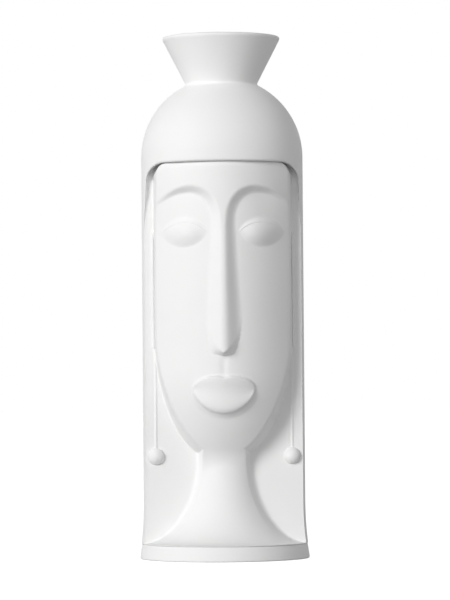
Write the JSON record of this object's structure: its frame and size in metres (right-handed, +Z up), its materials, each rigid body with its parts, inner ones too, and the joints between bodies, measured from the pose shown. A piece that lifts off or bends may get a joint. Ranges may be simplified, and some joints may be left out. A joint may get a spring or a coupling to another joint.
{
  "type": "face vase",
  "caption": "Tall round white ceramic vase with a stylised face in a front niche, a dome of hair, drop earrings and a flared bun-shaped mouth for stems.",
  "frame": {"origin": "centre of the underside of the base, where the vase stands", "axes": "+Z up the vase, the face looks along -Y, +X to the viewer's right"},
  "size_m": [0.101, 0.101, 0.31],
  "materials": {
    "bisque": "matt unglazed white bisque"
  },
  "bodies": {
    "root": {"base_slab": "bisque", "body_shell": "bisque", "hair_dome": "bisque", "bun_collar": "bisque", "bust": "bisque", "face_mask": "bisque", "brow_plate": "bisque", "nose": "bisque", "upper_lip": "bisque", "lower_lip": "bisque", "eye_left": "bisque", "eye_right": "bisque", "eyelid_left": "bisque", "eyelid_right": "bisque", "ear_left": "bisque", "ear_right": "bisque", "earring_stem_left": "bisque", "earring_stem_right": "bisque", "earring_bead_left": "bisque", "earring_bead_right": "bisque"}
  },
  "joints": []
}
